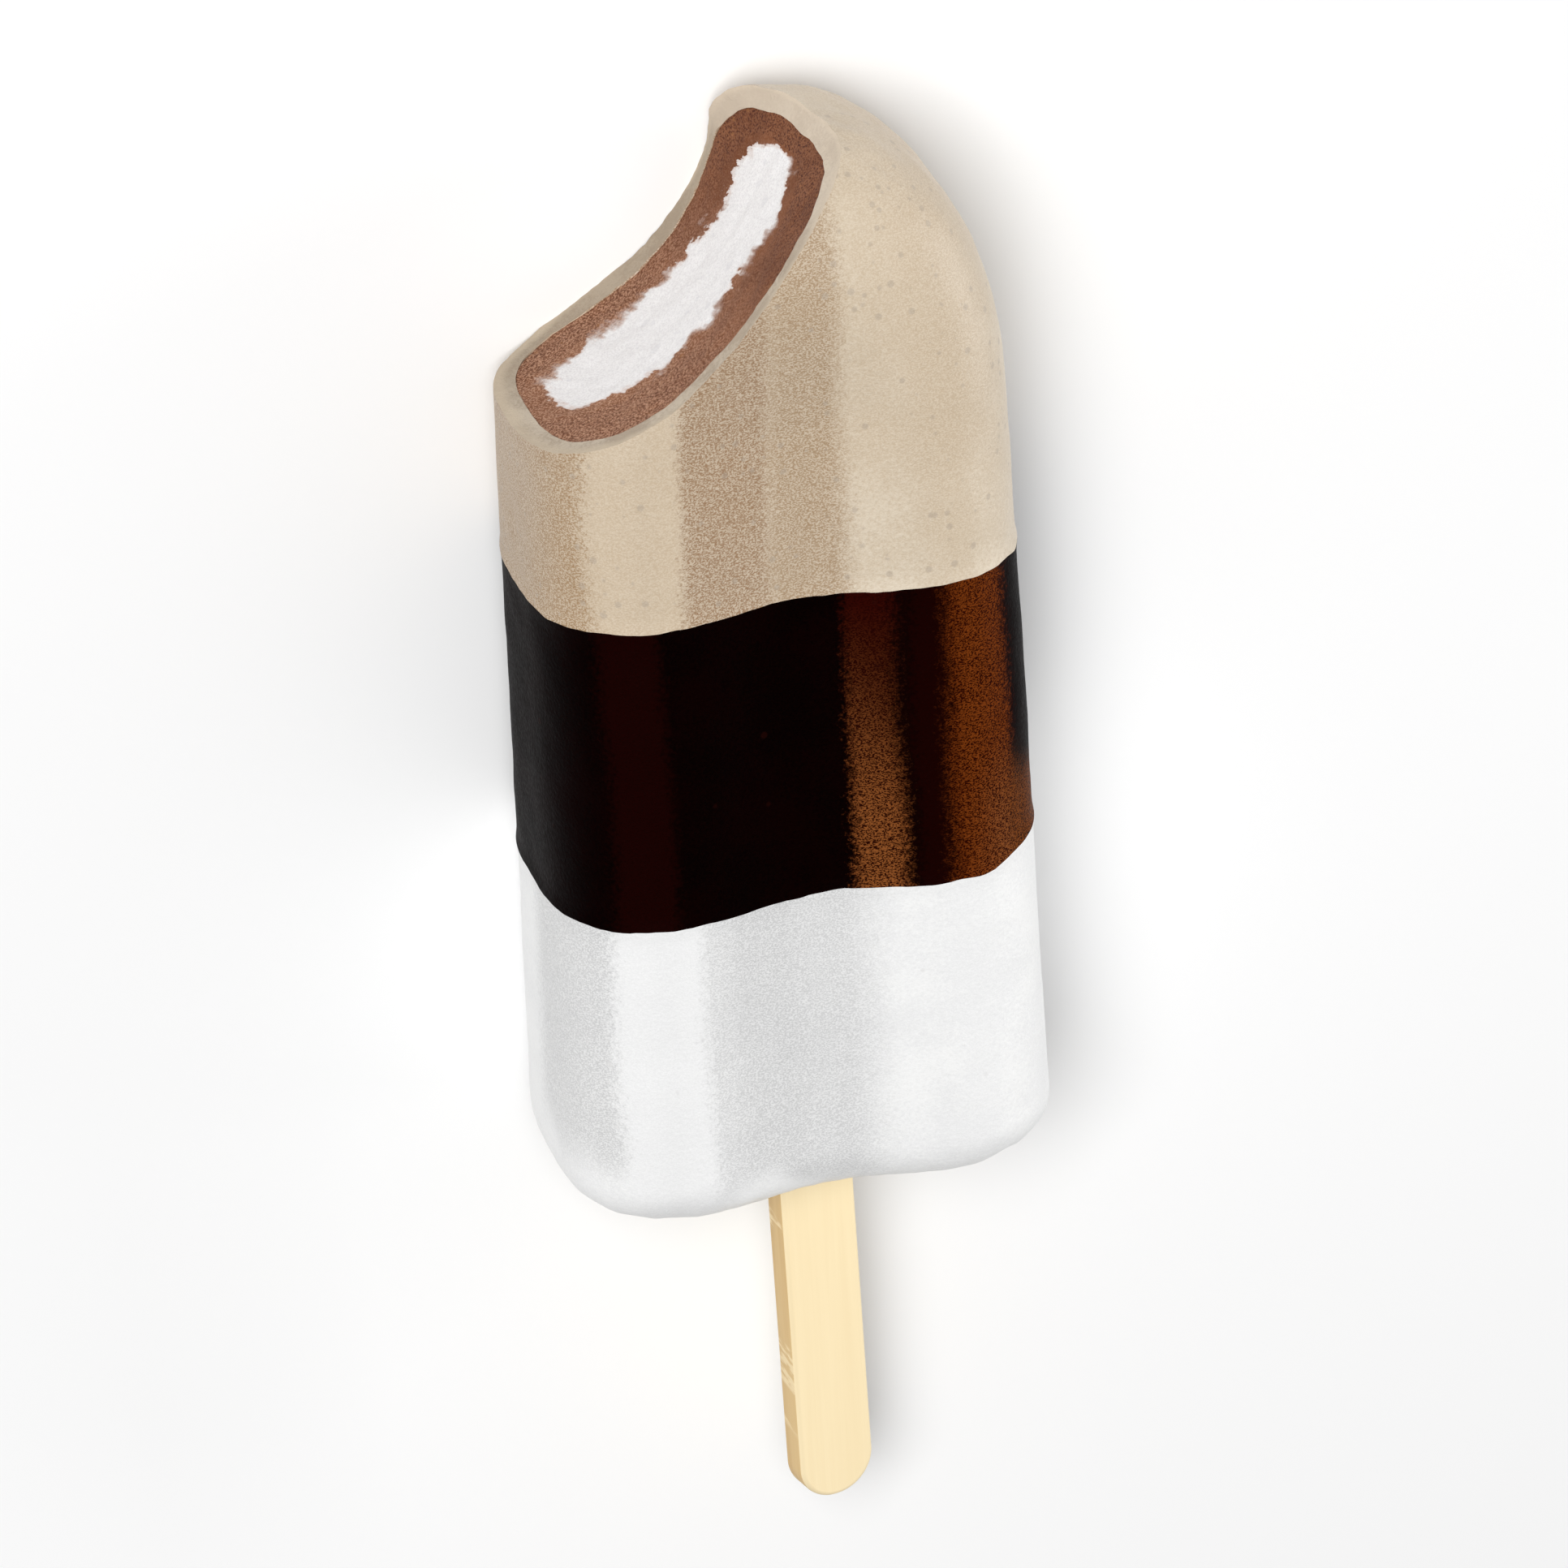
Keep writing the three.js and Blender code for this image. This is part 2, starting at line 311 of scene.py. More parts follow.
def roughen(piece, depth, grain, direction="NORMAL"):
    """Presses an uneven relief into a piece: depth from pit to peak, grain from one to the next."""
    relief = bpy.data.textures.new("relief", "CLOUDS")
    relief.noise_scale = grain
    relief.noise_depth = RELIEF_OCTAVES
    relief.noise_basis = "IMPROVED_PERLIN"
    modifier = piece.modifiers.new("Relief", "DISPLACE")
    modifier.texture = relief
    modifier.texture_coords = "LOCAL"
    modifier.direction = direction
    modifier.mid_level = 0.5
    modifier.strength = depth
    apply_modifiers(piece)


def cut_away(piece, other):
    """Takes another piece's form out of a piece. The cut gets the other one's finish, if any."""
    modifier = piece.modifiers.new("Cut", "BOOLEAN")
    modifier.operation = "DIFFERENCE"
    modifier.solver = "EXACT"
    modifier.material_mode = "TRANSFER" if other.data.materials else "INDEX"
    modifier.object = other
    apply_modifiers(piece)


def body(name, form, sides, rows, lowered=0.0):
    """A closed form of the bar's shape. A drum is divided into rows and rings, and each of
    its points is then pressed to the section at its own place along the bar."""
    bpy.ops.object.select_all(action="DESELECT")
    bpy.ops.mesh.primitive_cylinder_add(
        vertices=sides, radius=1, depth=1, location=(0, 0.5, 0), rotation=(-math.pi / 2, 0, 0)
    )
    piece = added(name)
    edit("EDGE")
    select_edges(piece, lambda edge: span(edge, "y") > 0.5)
    bpy.ops.mesh.subdivide_edgering(number_cuts=len(rows) - 2, interpolation="LINEAR")
    bpy.ops.mesh.select_mode(type="FACE")
    select_faces(piece, lambda face: face.normal.y < -0.5)
    for _ in range(END_RINGS - 1):
        bpy.ops.mesh.inset(thickness=1 / END_RINGS)
    bpy.ops.mesh.poke()
    leave_edit()

    x, y, z = places(piece).T
    radius = np.minimum(np.hypot(x, z), 1)
    along = np.interp(y, np.linspace(0, 1, len(rows)), rows)
    turn = even_turns(form, (np.arctan2(z, x) / (2 * np.pi)) % 1)
    width, thickness, groove = shares(form, along)
    across, over = section(form, turn, groove)
    height = np.maximum(over * thickness * radius, -MIDDLE_HEIGHT) + MIDDLE_HEIGHT - lowered
    move_to(piece, np.stack([across * width * radius, BODY_BOTTOM + along, height], 1))
    edit()
    close_and_leave(piece)
    return piece


def bezier(points, share):
    """The places at shares of a curve with a start, two points that it bends to, and an end."""
    start, first, second, end = (np.array(point) for point in points)
    share = share[:, None]
    rest = 1 - share
    return start * rest**3 + 3 * first * share * rest**2 + 3 * second * share**2 * rest + end * share**3


def bite(name, depth, reliefs):
    """What the bite took away: a rough sheet through the bar, drawn out over the eaten side.
    Depth is how much deeper than the bite's own surface it goes."""
    columns = round(BITE_SHEET_LENGTH / BITE_STEP)
    rows = round(BITE_SHEET_DEPTH / BITE_STEP)
    bpy.ops.object.select_all(action="DESELECT")
    bpy.ops.mesh.primitive_grid_add(x_subdivisions=columns, y_subdivisions=rows, size=1)
    piece = added(name)
    x, y, _ = places(piece).T
    share = np.interp(x, (-0.5, 0.5), BITE_SPAN)
    through = np.interp(y, (-0.5, 0.5), (-BITE_OVERRUN, 1 + BITE_OVERRUN))
    back = bezier(BITE_BACK, share)
    front = bezier(BITE_FRONT, share)
    to_rim = bezier(BITE_RIM, share) - back
    lip = np.clip(1 - through / BITE_RIM_REACH, 0, BITE_RIM_OVERRUN) ** 2
    inside = np.clip(through, 0, 1)
    hollow = np.array(EATEN_SIDE[:2]) / np.hypot(*EATEN_SIDE[:2]) * BITE_HOLLOW
    point = back + (front - back) * through[:, None] + to_rim * lip[:, None]
    point -= hollow * (4 * inside * (1 - inside))[:, None]
    move_to(
        piece,
        np.stack([point[:, 0], BODY_BOTTOM + point[:, 1], through * 2 * MIDDLE_HEIGHT], 1),
    )
    if depth:
        modifier = piece.modifiers.new("Depth", "DISPLACE")
        modifier.mid_level = 0
        modifier.strength = depth
        apply_modifiers(piece)
    for relief in reliefs:
        roughen(piece, *relief)
    edit()
    bpy.ops.mesh.select_all(action="SELECT")
    bpy.ops.mesh.extrude_region_move(TRANSFORM_OT_translate={"value": EATEN_SIDE})
    close_and_leave(piece)
    return piece


def finish_piece(piece, node, slot, *finishes):
    """Smooths a piece, gives it its finishes, hangs it from the root and hides the solid that it stands
    for.
    """
    select_only(piece)
    bpy.ops.object.shade_smooth_by_angle(angle=SMOOTH_ANGLE)
    for finish in finishes:
        if finish.name not in piece.data.materials:
            piece.data.materials.append(finish)
    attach(piece, "root")
    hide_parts(node)


# ------------------------------------------------------------------ finishes


def linear(red, green, blue):
    """A colour of 0 to 255 a channel as the light that it stands for, by the display curve."""
    return tuple(
        value / 255 / 12.92 if value <= 10 else ((value / 255 + 0.055) / 1.055) ** 2.4
        for value in (red, green, blue)
    ) + (1.0,)


class Nodes:
    """Places nodes in a material's or a group's tree. A given value that is an output socket
    is linked, and any other value is set on the input."""

    def __init__(self, tree):
        self.tree = tree

    def link(self, output, socket):
        self.tree.links.new(output, socket)

    def add(self, kind, inputs=None, **settings):
        node = self.tree.nodes.new(kind)
        for name, value in settings.items():
            setattr(node, name, value)
        for name, value in (inputs or {}).items():
            if isinstance(value, bpy.types.NodeSocket):
                self.link(value, node.inputs[name])
            else:
                node.inputs[name].default_value = value
        return node

    def give(self, out, **values):
        """Links values to the outputs of a group."""
        for name, value in values.items():
            self.link(value, out.inputs[name])

    def place(self):
        return self.add("ShaderNodeTexCoord").outputs["Object"]

    def part(self, axis):
        """One of the three parts of a point's place."""
        return self.add("ShaderNodeSeparateXYZ", {"Vector": self.place()}).outputs[axis]

    def mark(self, name):
        """A value that is written on the points or faces of the piece."""
        return self.add("ShaderNodeAttribute", attribute_name=name).outputs["Fac"]

    def mapped(self, vector, kind="POINT", **values):
        values["Vector"] = vector
        return self.add("ShaderNodeMapping", values, vector_type=kind).outputs["Vector"]

    def noise(self, vector, scale, detail=2.0, roughness=0.5):
        values = {"Vector": vector, "Scale": scale, "Detail": detail, "Roughness": roughness}
        return self.add("ShaderNodeTexNoise", values).outputs["Fac"]

    def math(self, operation, first, second=0.0, third=0.0, clamp=False):
        values = {0: first, 1: second, 2: third}
        node = self.add("ShaderNodeMath", values, operation=operation, use_clamp=clamp)
        return node.outputs[0]

    def swayed(self, value, noise, reach):
        """A value that a noise of 0 to 1 moves up or down, by half of the reach at most."""
        return self.math("MULTIPLY_ADD", self.math("SUBTRACT", noise, 0.5), reach, value)

    def between(self, value, low, high, to_low=0.0, to_high=1.0):
        """A smooth step from one value to another."""
        values = {"Value": value, "From Min": low, "From Max": high}
        values.update({"To Min": to_low, "To Max": to_high})
        return self.add("ShaderNodeMapRange", values, interpolation_type="SMOOTHSTEP").outputs[0]

    def mix(self, share, first, second):
        node = self.add("ShaderNodeMix", data_type="RGBA")
        for name, value in (("Factor", share), ("A", first), ("B", second)):
            socket = next(s for s in node.inputs if s.name == name and s.enabled)
            if isinstance(value, bpy.types.NodeSocket):
                self.link(value, socket)
            else:
                socket.default_value = value
        return next(s for s in node.outputs if s.enabled)


def new_group(name, inputs, outputs):
    """An empty shader group that takes and gives numbers, and the nodes of its two ends."""
    tree = bpy.data.node_groups.new(name, "ShaderNodeTree")
    for label, value in inputs.items():
        socket = tree.interface.new_socket(label, in_out="INPUT", socket_type="NodeSocketFloat")
        socket.default_value = value
    for label in outputs:
        tree.interface.new_socket(label, in_out="OUTPUT", socket_type="NodeSocketFloat")
    nodes = Nodes(tree)
    return nodes, nodes.add("NodeGroupInput"), nodes.add("NodeGroupOutput")


MILLIMETRES = 1000.0  # in a metre


def grain_group():
    """Fine sandy grain over soft, larger mottling. Sizes are in grains for each metre."""
    inputs = {"Grains": 3000.0, "Mottles": 200.0}
    nodes, given, out = new_group("grain", inputs, ("Grain", "Mottle"))
    place = nodes.place()
    grain = nodes.noise(place, given.outputs["Grains"], 3.0, 0.65)
    mottle = nodes.noise(place, given.outputs["Mottles"], 3.0, 0.55)
    nodes.give(out, Grain=grain, Mottle=mottle)
    return nodes.tree


def speck_group():
    """Scattered round specks, in clusters: at most a given share of a pattern's cells has one."""
    inputs = {"Cells": 500.0, "Share": 0.2, "Radius": 0.25}
    nodes, given, out = new_group("specks", inputs, ("Speck",))
    place = nodes.place()
    values = {"Vector": place, "Scale": given.outputs["Cells"], "Randomness": 0.9}
    cells = nodes.add("ShaderNodeTexVoronoi", values)
    pick = nodes.add("ShaderNodeSeparateColor", {"Color": cells.outputs["Color"]})
    cluster = nodes.between(nodes.noise(place, 70.0, 1.0), 0.4, 0.55, 0.2, 1.0)
    share = nodes.math("MULTIPLY", given.outputs["Share"], cluster)
    chosen = nodes.math("LESS_THAN", pick.outputs["Red"], share)
    growth = nodes.between(pick.outputs["Green"], 0, 1, 0.4, 1.2)
    size = nodes.math("MULTIPLY", given.outputs["Radius"], growth)
    near = nodes.math("SUBTRACT", size, cells.outputs["Distance"])
    soft = nodes.between(near, -0.06, 0.08)
    nodes.give(out, Speck=nodes.math("MULTIPLY", chosen, soft))
    return nodes.tree


def streak_group():
    """Where a point lies across and along the bar and over the floor, in millimetres, for the
    streaks of painted shade and painted highlight that run along it. Across is unsteady from
    grain to grain, so that a streak has sandy edges. Flecks are small flat grains across the
    bar, where a streak is broken up."""
    inputs = {"Sand": 3.0, "Wander": 2.0}
    nodes, given, out = new_group("streaks", inputs, ("Across", "Along", "Height", "Flecks"))
    place = nodes.place()
    sand = nodes.noise(place, 2400.0, 2.0, 0.6)
    wander = nodes.noise(nodes.mapped(place, Scale=(1, 0.4, 1)), 110.0, 1.0)
    across = nodes.math("MULTIPLY", nodes.part("X"), MILLIMETRES)
    across = nodes.swayed(across, sand, given.outputs["Sand"])
    across = nodes.swayed(across, wander, given.outputs["Wander"])
    along = nodes.math("MULTIPLY_ADD", nodes.part("Y"), MILLIMETRES, -MILLIMETRES * BODY_BOTTOM)
    along = nodes.swayed(along, wander, 12.0)
    height = nodes.swayed(nodes.math("MULTIPLY", nodes.part("Z"), MILLIMETRES), sand, 6.0)
    grains = nodes.noise(nodes.mapped(place, Scale=(1, 1.6, 1)), 5200.0, 2.0, 0.7)
    flecks = nodes.between(grains, 0.46, 0.56)
    nodes.give(out, Across=across, Along=along, Height=height, Flecks=flecks)
    return nodes.tree


def seam_group():
    """How white the ice cream is at the bite: 1 in the core and 0 in the chocolate layer. The
    seam is ragged, and smeared by the teeth from the front to the back. The points'
    core_reach is their distance outside the core."""
    nodes, _, out = new_group("ragged_seam", {}, ("White", "Smear"))
    place = nodes.place()
    strokes = nodes.mapped(place, kind="TEXTURE", Rotation=TOOTH_TURN, Scale=(1, 1, 6))
    ragged = nodes.noise(strokes, 1300.0, 3.0, 0.65)
    notches = nodes.noise(strokes, 480.0, 1.0, 0.5)
    wander = nodes.noise(place, 270.0, 3.0, 0.65)
    crumbs = nodes.noise(place, 3200.0, 2.0, 0.6)
    field = nodes.math("MULTIPLY_ADD", nodes.mark("core_reach"), MILLIMETRES, 0.25)
    field = nodes.swayed(field, ragged, 3.4)
    field = nodes.swayed(field, notches, 4.0)
    field = nodes.swayed(field, wander, 6.0)
    smear = nodes.between(field, -1.2, 0.3)
    field = nodes.swayed(field, crumbs, 1.3)
    softness = nodes.between(nodes.noise(place, 170.0, 1.0), 0.45, 0.6, 0.1, 1.5)
    crisp = nodes.math("MULTIPLY", softness, -1.0)
    nodes.give(out, White=nodes.between(field, crisp, softness, 1.0, 0.0), Smear=smear)
    return nodes.tree


GROUPS = {
    "grain": grain_group(),
    "specks": speck_group(),
    "streaks": streak_group(),
    "seam": seam_group(),
}


def grouped(nodes, name, **values):
    """The outputs of one of the groups, added with values on its inputs."""
    return nodes.add("ShaderNodeGroup", values, node_tree=GROUPS[name]).outputs


def new_finish(name):
    material = bpy.data.materials.new(name)
    material.use_nodes = True
    nodes = Nodes(material.node_tree)
    shader = material.node_tree.nodes["Principled BSDF"]
    return material, nodes, shader


def set_shader(nodes, shader, **values):
    for name, value in values.items():
        socket = shader.inputs[name.replace("_", " ")]
        if isinstance(value, bpy.types.NodeSocket):
            nodes.link(value, socket)
        else:
            socket.default_value = value


def bump(nodes, height, depth):
    """A relief of the given depth in metres, too fine for the mesh."""
    values = {"Height": height, "Strength": 1.0, "Distance": depth}
    return nodes.add("ShaderNodeBump", values).outputs["Normal"]


BELOW_ALL = -100  # lower than any point of the bar, in millimetres
HEIGHT_SOFTNESS = 2.5  # of a streak's lower edge, in millimetres
SIDE_SOFTNESS = (0.8, 0.8)  # of a streak's left and right edges, in millimetres


def painted_light_streak(left, right, colour, strength, fleck_gaps, **changed):
    """A streak of painted light between two lines, in millimetres across the bar, with soft
    edges: painted shade on the pale coats and painted highlight on the dark one. A share of it
    is broken up in flecks. Along the bar it fades from where it is full to where it is gone,
    and it shows only over a height."""
    return {
        "left": left,
        "right": right,
        "colour": linear(*colour),
        "strength": strength,
        "fleck_gaps": fleck_gaps * strength,
        "full": BELOW_ALL,
        "gone": 2 * BELOW_ALL,
        "over": BELOW_ALL,
        "soft": SIDE_SOFTNESS,
        **changed,
    }


def with_painted_light(nodes, given, colour, streaks):
    """Lays streaks of painted shade and painted highlight over a colour."""
    across = given["Across"]
    for its in streaks:
        left_soft, right_soft = its["soft"]
        rise = nodes.between(across, its["left"] - left_soft, its["left"] + left_soft)
        fall = nodes.between(across, its["right"] + right_soft, its["right"] - right_soft)
        fade = nodes.between(given["Along"], its["gone"], its["full"])
        lowest, highest = its["over"] - HEIGHT_SOFTNESS, its["over"] + HEIGHT_SOFTNESS
        shown = nodes.between(given["Height"], lowest, highest)
        fade = nodes.math("MULTIPLY", fade, shown)
        left_over = nodes.math("MULTIPLY_ADD", given["Flecks"], -its["fleck_gaps"], its["strength"])
        share = nodes.math("MULTIPLY", nodes.math("MULTIPLY", rise, fall), left_over)
        colour = nodes.mix(nodes.math("MULTIPLY", share, fade), colour, its["colour"])
    return colour


def coating_finish(name, look, **gloss):
    """A chocolate coating: mottled between two colours, sandy, with small specks, and streaked with
    painted light: painted shade on the pale coats, painted highlights on the dark one.
    """
    material, nodes, shader = new_finish(name)
    grain = grouped(nodes, "grain", Grains=2600.0, Mottles=130.0)
    specks = grouped(nodes, "specks", Cells=760.0, Share=look["speck_share"], Radius=0.22)
    streaks = grouped(nodes, "streaks")
    mottle = nodes.math("MULTIPLY", grain["Mottle"], 0.5)
    tone = nodes.math("MULTIPLY_ADD", grain["Grain"], 0.5, mottle)
    colour = nodes.mix(nodes.between(tone, 0.4, 0.6), look["deep"], look["light"])
    # Painted light: streaks of painted shade and painted highlight laid into the colour.
    colour = with_painted_light(nodes, streaks, colour, look["streaks"])
    flecks = nodes.math("MULTIPLY", streaks["Flecks"], look["fleck_share"])
    colour = nodes.mix(flecks, colour, look["fleck"])
    colour = nodes.mix(nodes.math("MULTIPLY", specks["Speck"], 0.45), colour, look["speck"])
    rough = nodes.between(grain["Grain"], 0.3, 0.7, *look["roughness"])
    normal = bump(nodes, grain["Grain"], look["relief"])
    set_shader(nodes, shader, Base_Color=colour, Roughness=rough, Normal=normal, **gloss)
    return material


# Where the finishes at the bite change along the bar, from the stick end.
SNAPPED_TOP = (0.092, 0.099)
BITE_LOW_END = (0.079, 0.093)
BITE_HIGH_END = (0.085, 0.096)


def along_bar(nodes, stops, to_low=0.0, to_high=1.0):
    """A smooth step between two places along the bar."""
    low, high = (BODY_BOTTOM + stop for stop in stops)
    return nodes.between(nodes.part("Y"), low, high, to_low, to_high)


def snapped_finish():
    """The cut face of the coating at the bite, duller than its outside, with painted shadow: greyer away
    from its outer edge, next to the ice cream, and darker towards the floor.
    """
    material, nodes, shader = new_finish("snapped_coating")
    grain = grouped(nodes, "grain", Grains=3000.0, Mottles=160.0)
    mottle = nodes.math("MULTIPLY", grain["Mottle"], 0.6)
    tone = nodes.math("MULTIPLY_ADD", grain["Grain"], 0.4, mottle)
    # Painted shadow: greyer than the outer coat, next to the ice cream.
    colour = nodes.mix(nodes.between(tone, 0.42, 0.58), linear(174, 158, 139), linear(196, 182, 163))
    # Painted shade: darker towards the floor.
    floorward_shade = nodes.between(nodes.part("Z"), 0.004, 0.016, 0.6, 0.0)
    colour = nodes.mix(floorward_shade, colour, linear(156, 140, 120))
    reach = nodes.math("MULTIPLY_ADD", grain["Mottle"], 0.0012, nodes.mark("skin_reach"))
    outer = nodes.between(reach, -0.0009, 0.0003, 0.0, 0.8)
    colour = nodes.mix(outer, colour, linear(200, 184, 161))
    colour = nodes.mix(along_bar(nodes, SNAPPED_TOP, 0.0, 0.55), colour, linear(216, 201, 182))
    normal = bump(nodes, grain["Grain"], 0.0001)
    set_shader(nodes, shader, Base_Color=colour, Roughness=0.7, IOR=1.3, Normal=normal)
    return material


def ice_cream_finish(name, roughness, relief):
    """Ice cream at the bite. Its colour goes from chocolate to vanilla over the ragged seam.
    The chocolate is paler and sandier at the low end of the bite, and most of its dark grains
    lie near the coating at the bite's two ends."""
    material, nodes, shader = new_finish(name)
    grain = grouped(nodes, "grain", Grains=5000.0, Mottles=260.0)
    sand = grain["Grain"]
    speck = grouped(nodes, "specks", Cells=900.0, Share=0.2, Radius=0.26)["Speck"]
    spot = grouped(nodes, "specks", Cells=430.0, Share=0.5, Radius=0.24)["Speck"]
    seam = grouped(nodes, "seam")

    low_end = along_bar(nodes, BITE_LOW_END, 1.0, 0.0)
    high_end = along_bar(nodes, BITE_HIGH_END)
    rim = nodes.between(nodes.mark("core_reach"), 0.0014, 0.0026)

    light_share = nodes.math("MULTIPLY_ADD", low_end, 0.72, 0.12)
    light = nodes.math("MULTIPLY", nodes.between(sand, 0.44, 0.62), light_share)
    ends = nodes.math("MAXIMUM", high_end, nodes.math("MULTIPLY", low_end, 0.6))
    ends = nodes.math("MULTIPLY", ends, rim)
    dark_share = nodes.math("MULTIPLY_ADD", ends, 0.95, 0.05, clamp=True)
    dark = nodes.math("MULTIPLY", nodes.between(sand, 0.52, 0.38), dark_share)
    patches = nodes.between(grain["Mottle"], 0.4, 0.6)
    brown = nodes.mix(patches, linear(114, 65, 37), linear(129, 78, 48))
    brown = nodes.mix(nodes.math("MULTIPLY", low_end, 0.5), brown, linear(148, 100, 72))
    brown = nodes.mix(light, brown, linear(196, 152, 124))
    brown = nodes.mix(dark, brown, linear(78, 40, 28))
    brown = nodes.mix(nodes.math("MULTIPLY", speck, 0.4), brown, linear(166, 112, 66))

    white = nodes.mix(nodes.between(sand, 0.35, 0.6), linear(226, 223, 223), linear(241, 239, 238))
    white = nodes.mix(nodes.math("MULTIPLY", speck, 0.3), white, linear(208, 206, 210))
    white = nodes.mix(nodes.math("MULTIPLY", spot, 0.4), white, linear(214, 212, 214))
    white = nodes.mix(nodes.math("MULTIPLY", seam["Smear"], 0.5), white, linear(190, 152, 130))

    colour = nodes.mix(seam["White"], brown, white)
    normal = bump(nodes, sand, relief)
    set_shader(nodes, shader, Base_Color=colour, Roughness=roughness, IOR=1.3, Normal=normal)
    return material


BIRCH_RAY_TURN = (math.radians(20), 0, 0)  # turns Z to the way of the rays on the narrow sides


def birch_finish():
    """Pale birch, with fine fibres along the stick, and streaks on its narrow sides, which are painted a
    darker tan as painted shade.
    """
    material, nodes, shader = new_finish("sanded_birch")
    place = nodes.place()
    fibres = nodes.noise(nodes.mapped(place, Scale=(1, 0.02, 1)), 2600.0, 3.0, 0.6)
    rays = nodes.noise(nodes.mapped(place, Scale=(1, 0.06, 1)), 700.0, 2.0, 0.5)
    tone = nodes.math("MULTIPLY_ADD", fibres, 0.6, nodes.math("MULTIPLY", rays, 0.4))
    colour = nodes.mix(nodes.between(tone, 0.3, 0.7), linear(247, 226, 182), linear(250, 230, 187))
    through = nodes.mapped(place, kind="TEXTURE", Rotation=BIRCH_RAY_TURN, Scale=(1, 1, 12))
    clusters = nodes.between(nodes.noise(through, 300.0, 1.0), 0.5, 0.6)
    lines = nodes.between(nodes.noise(through, 2200.0, 2.0, 0.6), 0.4, 0.6)
    streaks = nodes.math("MULTIPLY", clusters, lines)
    # Painted shade: the narrow sides are a darker tan than the flat ones; the ray streaks over it are
    # the wood's own.
    side = nodes.mix(nodes.between(rays, 0.35, 0.65), linear(213, 178, 122), linear(222, 190, 135))
    side = nodes.mix(streaks, side, linear(243, 220, 175))
    colour = nodes.mix(nodes.mark("narrow_side"), colour, side)
    set_shader(nodes, shader, Base_Color=colour, Roughness=0.62, Normal=bump(nodes, tone, 0.00002))
    return material


def floor_finish():
    material, nodes, shader = new_finish("floor")
    mottle = nodes.noise(nodes.place(), 3.0, 2.0, 0.5)
    colour = nodes.mix(mottle, linear(247, 247, 247), linear(250, 250, 250))
    set_shader(nodes, shader, Base_Color=colour, Roughness=0.8)
    return material


WHITE_LOOK = {
    "light": linear(242, 242, 241),
    "deep": linear(234, 234, 234),
    "fleck": linear(250, 250, 250),
    "fleck_share": 0.3,
    "speck": linear(222, 221, 220),
    "speck_share": 0.08,
    "roughness": (0.32, 0.42),
    "relief": 0.00006,
    # Painted shade: grey streaks where the lobes and the groove turn from the light, paler ones on the
    # crests.
    "streaks": (
        painted_light_streak(-24.0, -18.8, (188, 188, 188), 0.75, 0.4, full=9, gone=3, over=16, soft=(0.8, 1.2)),
        painted_light_streak(-18.6, -10.9, (233, 233, 233), 0.8, 0.0, full=4, gone=0.5),
        painted_light_streak(-10.9, 5.0, (196, 196, 196), 0.75, 0.38, full=4, gone=0.5, soft=(1.0, 3.0)),
        painted_light_streak(-8.0, -2.0, (184, 184, 184), 0.35, 0.3, full=4, gone=0.5, soft=(1.5, 2.0)),
        painted_light_streak(12.5, 16.0, (232, 232, 232), 0.5, 0.0, full=4, gone=0.5, soft=(1.2, 1.2)),
    ),
}
DARK_LOOK = {
    "light": linear(8, 0, 0),
    "deep": linear(3, 0, 0),
    "fleck": linear(18, 3, 1),
    "fleck_share": 0.25,
    "speck": linear(36, 8, 4),
    "speck_share": 0.02,
    "roughness": (0.42, 0.52),
    "relief": 0.00006,
    # Painted highlights: brown streaks of sheen along the right lobe and faint reddish sheen on the
    # other crests, laid into the colour.
    "streaks": (
        painted_light_streak(-18.5, -13.3, (26, 2, 1), 0.8, 0.3),
        painted_light_streak(3.9, 8.2, (48, 4, 1), 0.85, 0.3, soft=(0.8, 1.2)),
        painted_light_streak(4.0, 8.1, (138, 80, 38), 0.95, 1.0, full=34, gone=62, soft=(0.8, 1.2)),
        painted_light_streak(9.5, 12.7, (24, 1, 0), 0.9, 0.2),
        painted_light_streak(12.6, 18.8, (46, 3, 0), 0.95, 0.2, over=12, soft=(0.8, 1.2)),
        painted_light_streak(12.9, 18.6, (118, 56, 15), 0.88, 1.0, over=12, soft=(1.6, 0.8)),
        painted_light_streak(16.0, 20.5, (138, 86, 48), 0.5, 1.0, full=34, gone=44, over=14, soft=(2.5, 1.0)),
        painted_light_streak(18.4, 24.0, (118, 62, 22), 0.98, 0.9, full=38, gone=42, over=17),
    ),
}
BEIGE_LOOK = {
    "light": linear(214, 200, 179),
    "deep": linear(201, 184, 160),
    "fleck": linear(224, 211, 191),
    "fleck_share": 0.36,
    "speck": linear(168, 155, 140),
    "speck_share": 0.8,
    "roughness": (0.34, 0.44),
    "relief": 0.00008,
    # Painted shade: darker, warmer streaks on the left side, the groove and the right shoulder, where
    # the lobes turn from the light.
    "streaks": (
        painted_light_streak(-26.0, -18.4, (152, 120, 83), 0.92, 0.35, soft=(0.8, 1.2)),
        painted_light_streak(-18.4, -10.9, (193, 173, 147), 0.75, 0.0),
        painted_light_streak(-10.9, -2.0, (145, 113, 82), 0.92, 0.42, soft=(0.8, 1.2)),
        painted_light_streak(-2.0, 4.5, (158, 130, 99), 0.86, 0.42, soft=(1.2, 1.5)),
        painted_light_streak(10.2, 15.8, (194, 175, 150), 0.45, 0.3, soft=(1.2, 1.2)),
        painted_light_streak(5.5, 19.0, (192, 172, 146), 0.55, 0.2, full=76, gone=64, soft=(2.0, 2.0)),
        painted_light_streak(12.5, 19.5, (187, 168, 143), 0.4, 0.2, full=78, gone=68, soft=(2.5, 2.0)),
    ),
}

